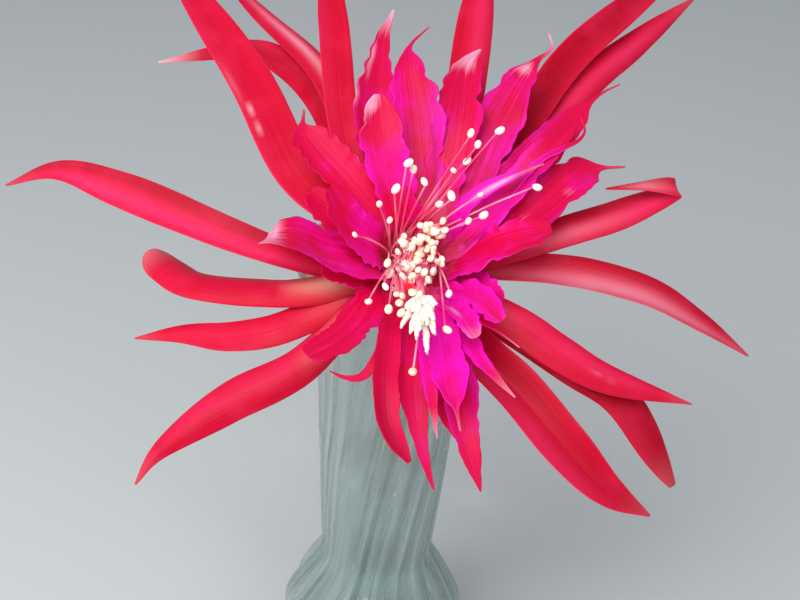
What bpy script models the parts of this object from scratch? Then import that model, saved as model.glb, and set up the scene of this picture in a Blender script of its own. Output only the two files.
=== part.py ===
"""One orchid cactus bloom, cut with its long tube, standing in a fluted glass vase.

Metres, +Z up, with the origin under the middle of the vase's foot. The bloom is
described in its own frame, in millimetres: across to the right, up in the plane of
the flower, and out along its axis from the throat.
"""
import math
import random

import bmesh
import bpy
import numpy as np
from mathutils import Matrix, Vector

MM = 0.001
SHARP_ANGLE = math.radians(40)

# The vase: outer wall as (radius, height), from the lip down to the foot.
VASE_OUTER = ((34, 199), (28, 181), (24.2, 152), (23, 120), (20.9, 84), (21, 70),
              (27.8, 56), (34.6, 40), (35.2, 22), (31, 8), (26.5, 1))
VASE_WALL = 2.6
VASE_ROWS = 18
LIP_HEIGHT = 200
LIP_ROUND = 0.8
FOOT_RADIUS = 25
BASE_THICKNESS = 5
BASE_CORNER = 5
VASE_SIDES = 48
FLUTES = 16
FLUTE_DEPTH = 0.7
FLUTE_FADE_FOOT, FLUTE_FADE_LIP = 12, 10
SWIRL = math.radians(70)

# The water, which stands in the neck and stops short of the glass.
WATER_LEVEL = 112
WATER_GAP = 0.35
WATER_SIDES = 32
STEM_GAP = 0.4

# The bloom's place: the middle of its throat, just over the front of the lip.
THROAT = (5, -22, 210)
BLOOM_LEAN = math.radians(35)

# The throat's cup, and the rings that sit in it, as heights along the flower's axis.
CUP_SIDES = 20
CUP_TOP, CUP_FLOOR, CUP_BOTTOM = 0, -30, -36
CUP_WALL = 1
CUP_FLOOR_RADIUS, CUP_TOP_RADIUS = 5, 11.2
RING_GAP = 0.4
COLLAR = (-12, -2)
STAMEN_RING = (-22, -17)
RING_WALL = 1

# The floral tube behind the cup: down the neck, resting against its back wall.
TUBE_ROUTE = ((5, -3, 183), (4.5, 8, 164), (3.5, 14.6, 146),
              (2.5, 14, 130), (2, 10.5, 113), (2, 7.5, 92))
TUBE_STEPS = 12
TUBE_RADIUS = 4.6
OVARY_RADIUS, OVARY_END = 5.8, 4.3
OVARY_FROM, OVARY_FULL = 7, 10

# Blades: tepals and petals.
ROWS = 8
COLUMNS = 3
BLADE_THICKNESS = 0.7
TIP_WIDTH = 0.9
OUTER_ROOTS = ((11.7, -3), (14.5, 0))
INNER_ROOTS = ((9.1, -5), (10.4, 3))

# Each outer tepal: name, outline, greatest width, roll at root and tip in degrees,
# and the points that its midline passes, as (across, up, out).
OUTER_TEPALS = (
    ("left_long", "taper", 10, 0, -20,
     ((-29, -5, 6), (-56, 2, 11), (-92, 16, 8), (-114, 23, 3), (-132, 20, -4))),
    ("left_hook", "taper", 10, 15, 30,
     ((-20, -10, 7), (-39, -17, 12), (-64, -15, 8), (-78, -8, 2), (-85, -1, -4))),
    ("left_lower", "taper", 10, 0, 0,
     ((-20, -15, 7), (-38, -26, 10), (-53, -29, 6), (-69, -27, -1), (-84, -28, -6))),
    ("low_left", "taper", 12, 0, 0,
     ((-15, -18, 8), (-31, -38, 10), (-51, -50, 6), (-70, -64, -2), (-77, -73, -8))),
    ("big_upper_left", "taper", 14, 0, 0,
     ((-21, 14, 6), (-37, 26, 9), (-57, 58, 8), (-79, 92, 2), (-98, 120, -6))),
    ("dark_upper_left", "taper", 9, 0, -30,
     ((-24, 39, 1), (-35, 58, 0), (-48, 72, -3), (-62, 78, -6), (-92, 73, -12))),
    ("slim_upper_left", "taper", 8, 50, 50,
     ((-23, 44, 4), (-35, 68, 3), (-56, 90, -2), (-76, 112, -8))),
    ("top", "taper", 11, 0, 0,
     ((-18, 23, 6), (-25, 43, 8), (-31, 78, 7), (-34, 97, 4), (-36, 123, -3))),
    ("top_right", "taper", 12, 0, 0,
     ((11, 40, 5), (13, 65, 7), (15, 95, 4), (18, 127, -2))),
    ("right_upper", "taper", 11, 0, 0,
     ((26, 38, 4), (44, 73, 6), (60, 95, 3), (91, 129, -6))),
    ("right_upper_two", "taper", 10, 0, 20,
     ((26, 30, 1), (53, 69, 2), (72, 90, -2), (93, 113, -7))),
    ("right_folded", "blunt", 10, 0, 0,
     ((21, 2, 6), (42, 9, 10), (60, 17, 9), (79, 28, 6))),
    ("right_long", "taper", 10, -20, -30,
     ((21, 0, 4), (45, -1, 9), (70, -5, 8), (89, -12, 3), (106, -18, -4))),
    ("right_lower", "taper", 12, 0, 0,
     ((18, -13, 8), (34, -22, 11), (45, -29, 11), (60, -35, 8), (87, -37, -1))),
    ("right_behind", "taper", 11, 0, 0,
     ((28, -20, 4), (51, -33, 4), (65, -39, 0), (83, -61, -10))),
    ("low_right", "taper", 16, 0, 0,
     ((22, -29, 7), (34, -40, 8), (49, -55, 6), (62, -65, 1), (76, -71, -6))),
)
FOLDED_TIP = ("right_folded_tip", "taper", 5, 0, 0,
              ((77, 26, 6), (81, 31, 8), (75, 31, 11), (61, 26, 13)))

# The inner petals: shorter and broader, with thread tips, standing out round the throat.
INNER_PETALS = (
    ("upper_one", "thread", 13, 0, 0,
     ((-5, 13, 9), (-14, 38, 16), (-16, 55, 17), (-16, 71, 16), (-11, 86, 14))),
    ("upper_two", "thread", 14, 0, 0,
     ((1, 16, 11), (-2, 38, 19), (-5, 61, 23), (1, 74, 21))),
    ("upper_three", "blunt", 15, 0, 0,
     ((7, 17, 12), (10, 39, 20), (12, 60, 20), (17, 70, 18))),
    ("upper_four", "thread", 16, 0, 0,
     ((13, 14, 12), (24, 44, 18), (32, 62, 20), (39, 76, 18))),
    ("right_one", "thread", 12, 0, 0,
     ((17, 11, 12), (35, 33, 16), (52, 54, 16), (62, 62, 14))),
    ("right_two", "thread", 10, 0, 20,
     ((17, 6, 14), (31, 20, 23), (42, 32, 26), (49, 43, 25))),
    ("right_three", "thread", 15, 0, 0,
     ((19, 3, 11), (34, 12, 17), (52, 28, 19), (64, 30, 17))),
    ("right_four", "blunt", 17, 0, -20,
     ((17, -3, 14), (28, -2, 24), (39, 2, 28))),
    ("left_one", "thread", 15, 0, 0,
     ((-9, 8, 12), (-21, 18, 20), (-35, 31, 24), (-37, 41, 22))),
    ("left_two", "blunt", 14, 0, 0,
     ((-4, 11, 14), (-11, 27, 27), (-14, 42, 31))),
    ("left_three", "blunt", 14, 0, 0,
     ((-11, 0, 12), (-20, 2, 24), (-26, 10, 31))),
    ("left_four", "blunt", 16, 0, 20,
     ((-11, -6, 12), (-25, -9, 22), (-34, -8, 28), (-42, -8, 30))),
    ("low_one", "blunt", 12, 0, 0,
     ((-10, -17, 14), (-18, -33, 24), (-28, -43, 30))),
    ("low_two", "taper", 9, 0, 0,
     ((-4, -22, 16), (-5, -42, 24), (-3, -59, 24), (4, -68, 20))),
    ("low_thread", "taper", 3, 0, 0,
     ((-6, -24, 14), (-7, -40, 19), (-13, -45, 19), (-21, -42, 18))),
    ("low_three", "taper", 10, 0, 0,
     ((2, -23, 15), (1, -44, 20), (4, -61, 19), (10, -73, 14))),
    ("low_four", "thread", 5, 0, 0,
     ((5, -25, 17), (7, -44, 25), (10, -60, 27))),
    ("low_five", "thread", 10, 0, 0,
     ((8, -21, 16), (12, -39, 26), (16, -58, 32))),
    ("low_six", "taper", 9, 0, 0,
     ((8, -16, 12), (13, -28, 16), (19, -58, 17), (23, -72, 12))),
    ("low_seven", "taper", 6, 0, 0,
     ((13, -21, 16), (20, -39, 26), (29, -49, 28))),
    ("side_one", "thread", 7, 0, 0,
     ((13, -13, 14), (23, -26, 24), (32, -33, 25))),
    ("side_two", "blunt", 9, 0, 0,
     ((15, -12, 14), (21, -20, 26), (26, -28, 32))),
    ("side_three", "blunt", 6, 0, 0,
     ((12, -18, 17), (15, -27, 27), (17, -35, 33))),
)
PETAL_WAVE = 0.9
PETAL_WAVES = 2.5
PETAL_CUP = 0.12
TEPAL_CUP = 0.16

# Stamens: where the anthers of the spread ones are, then the bunch in the throat.
SPREAD_ANTHERS = ((-17, -5, 32), (-11, 4, 34), (-8, 1, 30), (-7, 8, 36), (-4, 16, 38), (-2, 16, 34),
                  (2, 12, 34), (14, 28, 36), (22, 30, 36), (16, 23, 39), (13, 20, 34), (10, 18, 32),
                  (6, 8, 30), (10, 9, 32), (18, 11, 32), (34, 15, 32), (15, 4, 27), (19, 5, 30),
                  (-8, -17, 26), (-12, -25, 32), (-6, -26, 31), (11, -19, 29), (2, -46, 36), (10, -33, 36))
BUNCH_COUNT = 14
BUNCH_RADIUS = 6.5
BUNCH_HEIGHTS = (16, 26)
BUNCH_CENTRE = (2, 2)
STYLE_CLEARANCE = math.radians(30)
FILAMENT_RADIUS = 0.45
FILAMENT_NECK = 6
FILAMENT_ARCH = 3
ANTHER_RADIUS = 1.35
ANTHER_LENGTH = 3.4

# The style, and the lobes of its stigma, which hang over the lower petals.
STYLE_ROUTE = ((0, 0, -29.6), (0, -1, -12), (0.5, -3, 4), (2, -9, 17), (3, -20, 28))
STYLE_RADIUS = 1.1
STIGMA_TIPS = ((6, -41, 36), (-2, -32, 36), (0, -37, 38), (3, -38, 41), (8, -31, 36), (9, -37, 38),
               (-3, -26, 36), (8, -25, 38))
LOBE_RADIUS = 1.2
LOBE_ARCH = 2

BLOOM = Matrix.Translation(Vector(THROAT) * MM) @ Matrix.Rotation(BLOOM_LEAN, 4, "X")


def material(name, colour, roughness, transmission=0.0):
    finish = bpy.data.materials.new(name)
    finish.use_nodes = True
    shader = finish.node_tree.nodes["Principled BSDF"]
    shader.inputs["Base Color"].default_value = (*colour, 1)
    shader.inputs["Roughness"].default_value = roughness
    shader.inputs["Metallic"].default_value = 0.0
    shader.inputs["Transmission Weight"].default_value = transmission
    return finish


def smooth_line(points, steps):
    """Evenly spaced points on a smooth curve through the given ones, both ends included."""
    knots = [np.array(point, dtype=float) for point in points]
    knots = [2 * knots[0] - knots[1], *knots, 2 * knots[-1] - knots[-2]]
    fine = []
    for before, start, end, after in zip(knots, knots[1:], knots[2:], knots[3:]):
        bend = 2 * before - 5 * start + 4 * end - after
        twist = 3 * (start - end) + after - before
        for t in np.linspace(0, 1, 24, endpoint=False):
            fine.append(start + 0.5 * t * (end - before + t * (bend + t * twist)))
    fine = np.array([*fine, knots[-2]])
    travelled = np.concatenate(([0], np.cumsum(np.linalg.norm(np.diff(fine, axis=0), axis=1))))
    stations = np.linspace(0, travelled[-1], steps + 1)
    return [Vector(point) for point in zip(*(np.interp(stations, travelled, axis) for axis in fine.T))]


def new_object(name, mesh, collection, matrix=Matrix.Identity(4)):
    thing = bpy.data.objects.new(name, mesh)
    thing.matrix_world = matrix
    collection.objects.link(thing)
    return thing


def evaluated_mesh(thing):
    """The object's mesh with its modifiers applied."""
    bpy.context.view_layer.update()
    graph = bpy.context.evaluated_depsgraph_get()
    return bpy.data.meshes.new_from_object(thing.evaluated_get(graph), depsgraph=graph)


def turned(name, outline, sides, collection, matrix=Matrix.Identity(4)):
    """A solid turned round Z from (radius, height) points in millimetres, a ring if none is on Z."""
    mesh = bpy.data.meshes.new(name)
    points = [(radius * MM, 0, height * MM) for radius, height in outline]
    edges = [(i, i + 1) for i in range(len(points) - 1)]
    if outline[0][0] > 0:
        edges.append((len(points) - 1, 0))
    mesh.from_pydata(points, edges, [])
    thing = new_object(name, mesh, collection, matrix)
    screw = thing.modifiers.new("turn", "SCREW")
    screw.axis = "Z"
    screw.steps = screw.render_steps = sides
    screw.use_merge_vertices = True
    screw.merge_threshold = 0.00001
    return thing


def swept(name, points, radii, sides_step, collection, matrix=Matrix.Identity(4)):
    """A round rod along the points, in millimetres, as a closed mesh."""
    curve = bpy.data.curves.new(name, "CURVE")
    curve.dimensions = "3D"
    curve.bevel_depth = MM
    curve.bevel_resolution = sides_step
    curve.use_fill_caps = True
    line = curve.splines.new("POLY")
    line.points.add(len(points) - 1)
    for knot, point, radius in zip(line.points, points, radii):
        knot.co = (*(Vector(point) * MM), 1)
        knot.radius = radius
    guide = new_object(name + "_line", curve, collection, matrix)
    mesh = evaluated_mesh(guide)
    bpy.data.objects.remove(guide)
    shape = bmesh.new()
    shape.from_mesh(mesh)
    bmesh.ops.remove_doubles(shape, verts=shape.verts, dist=0.000001)
    bmesh.ops.recalc_face_normals(shape, faces=shape.faces)
    shape.to_mesh(mesh)
    shape.free()
    return new_object(name, mesh, collection, matrix)


def finished(thing, finish):
    """Give a finished piece its one material, and smooth shading with sharp edges."""
    thing.data.materials.clear()
    thing.data.materials.append(finish)
    thing.data.shade_smooth()
    thing.data.set_sharp_from_angle(angle=SHARP_ANGLE)


def neighbours(face):
    """The faces that share one of this face's edges with it alone."""
    return {other for edge in face.edges if len(edge.link_faces) == 2 for other in edge.link_faces}


def without_pockets(mesh):
    """Keep the largest closed shell, so that hollows sealed by the union are solid."""
    shape = bmesh.new()
    shape.from_mesh(mesh)
    bmesh.ops.triangulate(shape, faces=shape.faces)
    unseen = set(shape.faces)
    shells = []
    while unseen:
        shell = [unseen.pop()]
        for face in shell:
            near = neighbours(face) & unseen
            unseen -= near
            shell.extend(near)
        shells.append(shell)
    shells.sort(key=len)
    strays = [face for shell in shells[:-1] for face in shell]
    bmesh.ops.delete(shape, geom=strays, context="FACES")
    shape.to_mesh(mesh)
    shape.free()


def fused(base, pieces, finish, solver="EXACT"):
    """Join every object of the pieces collection to the base, and remove them."""
    union = base.modifiers.new("union", "BOOLEAN")
    union.operation = "UNION"
    union.operand_type = "COLLECTION"
    union.collection = pieces
    union.solver = solver
    base.data = evaluated_mesh(base)
    base.modifiers.clear()
    without_pockets(base.data)
    finished(base, finish)
    for piece in list(pieces.objects):
        bpy.data.objects.remove(piece)
    bpy.data.collections.remove(pieces)


def new_collection(name):
    group = bpy.data.collections.new(name)
    bpy.context.scene.collection.children.link(group)
    return group


def blade_outline(kind, along):
    """Share of a blade's greatest width, from its root at 0 to its tip at 1.

    A taper is widest near its middle, a blunt one near its cut-off tip, and a thread
    ends in a thin tail.
    """
    root = 0.3 * (1 - along)
    if kind == "taper":
        return max(abs(math.sin(math.pi * along ** 0.9)) ** 0.75, root)
    if kind == "blunt":
        return max(math.sin(math.pi * (0.93 * along) ** 1.3) ** 0.7, root)
    body = min(along / 0.86, 1)
    return max(abs(math.sin(math.pi * body ** 1.25)) ** 0.8, root)


def blade(row, roots, cup, wave, collection):
    """One tepal or petal: a grid laid along its midline, with a thickness."""
    name, kind, width, roll_root, roll_tip, points = row
    outward = Vector(points[0]).to_2d().normalized()
    points = [*((*(outward * radius), height) for radius, height in roots), *points]
    midline = smooth_line(points, ROWS)
    shape = bmesh.new()
    bmesh.ops.create_grid(shape, x_segments=COLUMNS, y_segments=ROWS, size=0.5)
    side = None
    frames = []
    for i, point in enumerate(midline):
        tangent = (midline[min(i + 1, ROWS)] - midline[max(i - 1, 0)]).normalized()
        side = tangent.cross(Vector((0, 0, 1))) if side is None else side - tangent * side.dot(tangent)
        side.normalize()
        along = i / ROWS
        roll = Matrix.Rotation(math.radians(roll_root + (roll_tip - roll_root) * along), 3, tangent)
        turned_side = roll @ side
        frames.append((point, turned_side, turned_side.cross(tangent), along))
    for vertex in shape.verts:
        point, across, face, along = frames[round((vertex.co.y + 0.5) * ROWS)]
        half = 2 * vertex.co.x
        spread = max(width * blade_outline(kind, along), TIP_WIDTH)
        ruffle = wave * math.sin(2 * math.pi * PETAL_WAVES * along + width) * half * abs(half)
        lift = cup * spread * half ** 2 + ruffle * min(spread / width, 1) * math.sin(math.pi * along)
        vertex.co = (point + across * (half * spread / 2) + face * lift) * MM
    bmesh.ops.triangulate(shape, faces=shape.faces)
    mesh = bpy.data.meshes.new(name)
    shape.to_mesh(mesh)
    shape.free()
    thing = new_object(name, mesh, collection, BLOOM)
    skin = thing.modifiers.new("thickness", "SOLIDIFY")
    skin.thickness = BLADE_THICKNESS * MM
    skin.offset = 0
    thing.data = evaluated_mesh(thing)
    thing.modifiers.clear()
    return thing


def make_vase(parts):
    outer = [(point.x, point.y) for point in smooth_line([(*p, 0) for p in VASE_OUTER], VASE_ROWS)]
    inner = [(radius - VASE_WALL, height) for radius, height in VASE_OUTER
             if height > BASE_THICKNESS + BASE_CORNER]
    outline = [(0, BASE_THICKNESS), (inner[-1][0] - BASE_CORNER, BASE_THICKNESS), *reversed(inner)]
    lip = [(inner[0][0] + LIP_ROUND, LIP_HEIGHT), (VASE_OUTER[0][0] - LIP_ROUND, LIP_HEIGHT)]
    outline += [*lip, *outer, (FOOT_RADIUS, 0), (0, 0)]
    vase = turned("vase", outline, VASE_SIDES, parts)
    vase.data = evaluated_mesh(vase)
    vase.modifiers.clear()
    heights, radii = zip(*sorted((height, radius) for radius, height in outer))
    for vertex in vase.data.vertices:
        x, y, z = vertex.co / MM
        radius, turn = math.hypot(x, y), math.atan2(y, x)
        if abs(np.interp(z, heights, radii) - radius) < VASE_WALL / 2:
            fade = min(z / FLUTE_FADE_FOOT, (LIP_HEIGHT - z) / FLUTE_FADE_LIP, 1)
            radius += FLUTE_DEPTH * fade * math.cos(FLUTES * turn)
        turn += SWIRL * z / LIP_HEIGHT
        vertex.co.xy = (radius * math.cos(turn) * MM, radius * math.sin(turn) * MM)
    finished(vase, material("vase_glass", (0.45, 0.56, 0.54), 0.25, 0.9))


def make_water(parts, cutters):
    inner = [(radius - VASE_WALL - WATER_GAP, height) for radius, height in VASE_OUTER
             if BASE_THICKNESS + BASE_CORNER < height < WATER_LEVEL]
    heights, radii = zip(*sorted((height, radius) for radius, height in VASE_OUTER))
    top = np.interp(WATER_LEVEL, heights, radii) - VASE_WALL - WATER_GAP
    floor = BASE_THICKNESS + WATER_GAP
    outline = [(0, WATER_LEVEL), (top, WATER_LEVEL), *inner]
    outline += [(inner[-1][0] - BASE_CORNER, floor), (0, floor)]
    water = turned("water", outline, WATER_SIDES, parts)
    water.data = evaluated_mesh(water)
    water.modifiers.clear()
    hole_line = smooth_line(TUBE_ROUTE, TUBE_STEPS)
    last_step = (hole_line[-1] - hole_line[-2]).normalized()
    hole_line.append(hole_line[-1] + last_step * STEM_GAP)
    hole = swept("stem_hole", hole_line, [OVARY_RADIUS + STEM_GAP] * len(hole_line), 3, cutters)
    hole.hide_render = True
    hole.display_type = "WIRE"
    cut = water.modifiers.new("stem_hole", "BOOLEAN")
    cut.operation = "DIFFERENCE"
    cut.object = hole
    cut.solver = "EXACT"
    finished(water, material("vase_water", (0.9, 0.96, 0.95), 0.05, 1.0))


def cup_radius(height):
    """Inside radius of the throat's cup at a height along the flower's axis."""
    share = (height - CUP_FLOOR) / (CUP_TOP - CUP_FLOOR)
    return CUP_FLOOR_RADIUS + (CUP_TOP_RADIUS - CUP_FLOOR_RADIUS) * share


def ring_outline(low, high):
    """Outline of a ring that follows the cup's wall, a small gap inside it."""
    bottom = cup_radius(low) - RING_GAP
    top = cup_radius(high) - RING_GAP
    return [(bottom - RING_WALL, low), (top - RING_WALL, high), (top, high), (bottom, low)]


def make_outer_tepals(parts):
    wall = CUP_WALL
    outline = [(0, CUP_FLOOR), (CUP_FLOOR_RADIUS, CUP_FLOOR), (CUP_TOP_RADIUS, CUP_TOP),
               (CUP_TOP_RADIUS + wall, CUP_TOP), (CUP_FLOOR_RADIUS + wall, CUP_FLOOR),
               (TUBE_RADIUS, CUP_BOTTOM), (0, CUP_BOTTOM)]
    cup = turned("outer_tepals", outline, CUP_SIDES, parts, BLOOM)
    cup.data = evaluated_mesh(cup)
    cup.modifiers.clear()
    pieces = new_collection("tepal_blades")
    for row in OUTER_TEPALS:
        blade(row, OUTER_ROOTS, TEPAL_CUP, 0, pieces)
    blade(FOLDED_TIP, (), TEPAL_CUP, 0, pieces)
    line = smooth_line(TUBE_ROUTE, TUBE_STEPS)
    radii = list(np.interp(range(len(line)), (OVARY_FROM, OVARY_FULL), (TUBE_RADIUS, OVARY_RADIUS)))
    radii[-1] = OVARY_END
    swept("floral_tube", line, radii, 2, pieces)
    fused(cup, pieces, material("tepal_crimson", (0.72, 0.02, 0.06), 0.4), "MANIFOLD")


def make_inner_petals(parts):
    collar = turned("inner_petals", ring_outline(*COLLAR), CUP_SIDES, parts, BLOOM)
    collar.data = evaluated_mesh(collar)
    collar.modifiers.clear()
    pieces = new_collection("petal_blades")
    for row in INNER_PETALS:
        blade(row, INNER_ROOTS, PETAL_CUP, PETAL_WAVE, pieces)
    fused(collar, pieces, material("petal_magenta", (0.8, 0.02, 0.25), 0.4), "MANIFOLD")


def stamen(index, root, anther, collection):
    """A filament that rises from the ring, spreads to its anther and ends in it."""
    root, anther = Vector(root), Vector(anther)
    neck = Vector((root.x * 0.95, root.y * 0.95, FILAMENT_NECK))
    arch = neck.lerp(anther, 0.5) + Vector((0, 0, FILAMENT_ARCH))
    line = smooth_line((root, neck, arch, anther), 4)
    along = (line[-1] - line[-2]).normalized()
    ends = [line[-1] + along * ANTHER_LENGTH * share for share in (0.3, 0.7, 1)]
    radii = [FILAMENT_RADIUS] * len(line) + [ANTHER_RADIUS, ANTHER_RADIUS, ANTHER_RADIUS * 0.4]
    swept(f"stamen_{index}", line + ends, radii, 0, collection, BLOOM)


def make_stamens(parts):
    ring = turned("stamens", ring_outline(*STAMEN_RING), CUP_SIDES, parts, BLOOM)
    ring.data = evaluated_mesh(ring)
    ring.modifiers.clear()
    pieces = new_collection("stamen_rods")
    draw = random.Random(7)
    anthers = list(SPREAD_ANTHERS)
    for i in range(BUNCH_COUNT):
        turn = i * math.pi * (3 - math.sqrt(5))
        reach = BUNCH_RADIUS * math.sqrt((i + 0.5) / BUNCH_COUNT)
        across = BUNCH_CENTRE[0] + reach * math.cos(turn)
        up = BUNCH_CENTRE[1] + reach * math.sin(turn)
        anthers.append((across, up, draw.uniform(*BUNCH_HEIGHTS)))
    anthers.sort(key=lambda place: math.atan2(place[0], -place[1]) % (2 * math.pi))
    root_height = sum(STAMEN_RING) / 2
    root_radius = cup_radius(root_height) - RING_GAP - RING_WALL / 2
    for i, anther in enumerate(anthers):
        share = (i + 0.5) / len(anthers)
        turn = STYLE_CLEARANCE + (2 * math.pi - 2 * STYLE_CLEARANCE) * share - math.pi / 2
        root = (root_radius * math.cos(turn), root_radius * math.sin(turn), root_height)
        stamen(i, root, anther, pieces)
    fused(ring, pieces, material("stamen_cream", (0.95, 0.85, 0.75), 0.6))


def make_style(parts):
    line = smooth_line(STYLE_ROUTE, 10)
    style = swept("style", line, [STYLE_RADIUS] * len(line), 1, parts, BLOOM)
    pieces = new_collection("stigma_lobes")
    heart = line[-1]
    back = line[-2]
    for i, tip in enumerate(STIGMA_TIPS):
        middle = heart.lerp(Vector(tip), 0.5) + Vector((0, 0, LOBE_ARCH))
        lobe = smooth_line((back, heart, middle, tip), 5)
        radii = [LOBE_RADIUS * share for share in (0.6, 0.8, 1, 1, 0.8, 0.4)]
        swept(f"stigma_lobe_{i}", lobe, radii, 0, pieces, BLOOM)
    fused(style, pieces, material("stigma_cream", (0.97, 0.9, 0.85), 0.5))


def build():
    for thing in list(bpy.data.objects):
        bpy.data.objects.remove(thing)
    parts = new_collection("orchid_cactus_in_vase")
    cutters = new_collection("cutters")
    make_vase(parts)
    make_water(parts, cutters)
    make_outer_tepals(parts)
    make_inner_petals(parts)
    make_stamens(parts)
    make_style(parts)


build()
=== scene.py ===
"""The looks of an orchid cactus bloom in its fluted glass vase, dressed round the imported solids."""

import math
import random

import bpy
import numpy as np
from mathutils import Matrix, Vector, noise


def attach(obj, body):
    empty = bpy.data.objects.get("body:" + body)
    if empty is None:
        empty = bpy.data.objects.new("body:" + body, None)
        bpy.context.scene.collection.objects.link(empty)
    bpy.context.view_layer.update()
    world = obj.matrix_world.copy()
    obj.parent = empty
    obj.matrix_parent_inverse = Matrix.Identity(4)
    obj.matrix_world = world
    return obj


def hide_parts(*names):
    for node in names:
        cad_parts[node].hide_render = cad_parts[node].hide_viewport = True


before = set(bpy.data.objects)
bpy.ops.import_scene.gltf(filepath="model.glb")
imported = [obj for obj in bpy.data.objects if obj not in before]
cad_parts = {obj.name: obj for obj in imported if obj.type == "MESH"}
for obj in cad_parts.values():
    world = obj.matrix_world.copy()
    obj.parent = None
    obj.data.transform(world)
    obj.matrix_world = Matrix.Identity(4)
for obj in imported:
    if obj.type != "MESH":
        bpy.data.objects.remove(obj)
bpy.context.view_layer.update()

# The camera looks down at the bloom as the photograph does, and is turned a little about its
# own line of sight, so that the vase leans in the picture as it does there.
MM = 0.001
THROAT = Vector((5, -22, 210)) * MM
CAMERA_DROP = math.radians(33)
CAMERA_ROLL = math.radians(4.25)
CAMERA_DISTANCE = 400 * MM
LENS_LENGTH, FILM_WIDTH = 57.6, 36
THROAT_RIGHT, THROAT_ABOVE = 3.75 * MM, 10 * MM

towards_camera = Vector((0, -math.cos(CAMERA_DROP), math.sin(CAMERA_DROP)))
level_up = Vector((0, math.sin(CAMERA_DROP), math.cos(CAMERA_DROP)))
level_right = Vector((1, 0, 0))
picture_right = level_right * math.cos(CAMERA_ROLL) + level_up * math.sin(CAMERA_ROLL)
picture_up = level_up * math.cos(CAMERA_ROLL) - level_right * math.sin(CAMERA_ROLL)
eye = THROAT + towards_camera * CAMERA_DISTANCE
eye -= picture_right * THROAT_RIGHT + picture_up * THROAT_ABOVE
bpy.ops.object.select_all(action="DESELECT")
bpy.ops.object.camera_add()
camera = bpy.context.object
camera.name = "photo_camera"
camera.data.lens = LENS_LENGTH
camera.data.sensor_width = FILM_WIDTH
camera.data.clip_start = 0.01
camera_axes = Matrix((picture_right, picture_up, towards_camera)).transposed()
camera.matrix_world = Matrix.Translation(eye) @ camera_axes.to_4x4()
bpy.context.scene.camera = camera

# The vase is pale grey-green glass blown in a ribbed mould and twisted a little while soft,
# so that its shallow flutes swirl round the neck and the bulb. Its face is satin, not clear.
VASE_OUTER = ((34, 199), (28, 181), (24.2, 152), (23, 120), (20.9, 84), (21, 70),
              (27.8, 56), (34.6, 40), (35.2, 22), (31, 8), (26.5, 1))
VASE_WALL = 2.6
LIP_HEIGHT = 200
LIP_ROUND = 0.8
FOOT_RADIUS = 25
BASE_THICKNESS = 5
BASE_CORNER = 5
FLUTES = 16
FLUTE_DEPTH = 0.7
INSIDE_FLUTE_DEPTH = 0.35
FLUTE_FADE_FOOT, FLUTE_FADE_LIP = 12, 10
SWIRL = math.radians(70)
FLUTE_WANDER = 0.35
VASE_SIDES = 128
VASE_ROWS = 60
# Heights in metres over which the upper neck is painted paler: painted light.
NECK_LIGHT_FROM, NECK_LIGHT_FULL = 0.08, 0.19
GLASS_DEEP = (0.33, 0.5, 0.48, 1)
GLASS_PALE = (0.7, 0.85, 0.82, 1)
GLASS_THREAD_AND_HIGHLIGHT = (0.93, 0.98, 0.97, 1)


def pick(piece):
    """Make one piece the only selected and active one."""
    bpy.ops.object.select_all(action="DESELECT")
    piece.select_set(True)
    bpy.context.view_layer.objects.active = piece


def new_grid(name, columns, rows):
    """A flat square grid, to be laid into shape: x runs across it and y along it."""
    bpy.ops.object.select_all(action="DESELECT")
    bpy.ops.mesh.primitive_grid_add(x_subdivisions=columns, y_subdivisions=rows, size=1)
    grid = bpy.context.object
    grid.name = name
    return grid


def closed_up(piece):
    """Merge the points that meet at seams and poles, and turn every face outwards."""
    pick(piece)
    bpy.ops.object.mode_set(mode="EDIT")
    bpy.ops.mesh.select_all(action="SELECT")
    bpy.ops.mesh.remove_doubles(threshold=0.000002)
    bpy.ops.mesh.normals_make_consistent(inside=False)
    bpy.ops.object.mode_set(mode="OBJECT")


def worked(piece, kind, **settings):
    """Give a piece one modifier and apply it."""
    pick(piece)
    bpy.ops.object.modifier_add(type=kind)
    modifier = piece.modifiers[-1]
    for setting, value in settings.items():
        setattr(modifier, setting, value)
    bpy.ops.object.modifier_apply(modifier=modifier.name)


def smooth_line(points, steps):
    """Evenly spaced points on a smooth curve through the given ones, both ends included."""
    knots = [np.array(point, dtype=float) for point in points]
    knots = [2 * knots[0] - knots[1], *knots, 2 * knots[-1] - knots[-2]]
    fine = []
    for before, start, end, after in zip(knots, knots[1:], knots[2:], knots[3:]):
        bend = 2 * before - 5 * start + 4 * end - after
        twist = 3 * (start - end) + after - before
        for t in np.linspace(0, 1, 24, endpoint=False):
            fine.append(start + 0.5 * t * (end - before + t * (bend + t * twist)))
    fine = np.array([*fine, knots[-2]])
    travelled = np.concatenate(([0], np.cumsum(np.linalg.norm(np.diff(fine, axis=0), axis=1))))
    stations = np.linspace(0, travelled[-1], steps + 1)
    return [Vector(point) for point in zip(*(np.interp(stations, travelled, axis) for axis in fine.T))]


def node(tree, kind, inputs=None, **settings):
    """A shader node with its settings, and with its inputs set or linked."""
    made = tree.nodes.new(kind)
    for setting, value in settings.items():
        setattr(made, setting, value)
    for key, value in (inputs or {}).items():
        if isinstance(value, bpy.types.NodeSocket):
            tree.links.new(value, made.inputs[key])
        else:
            made.inputs[key].default_value = value
    return made


def maths(tree, operation, first, second=0.0, third=0.0):
    """The result of one sum, product or the like of two or three values."""
    return node(tree, "ShaderNodeMath", {0: first, 1: second, 2: third}, operation=operation).outputs[0]


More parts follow.
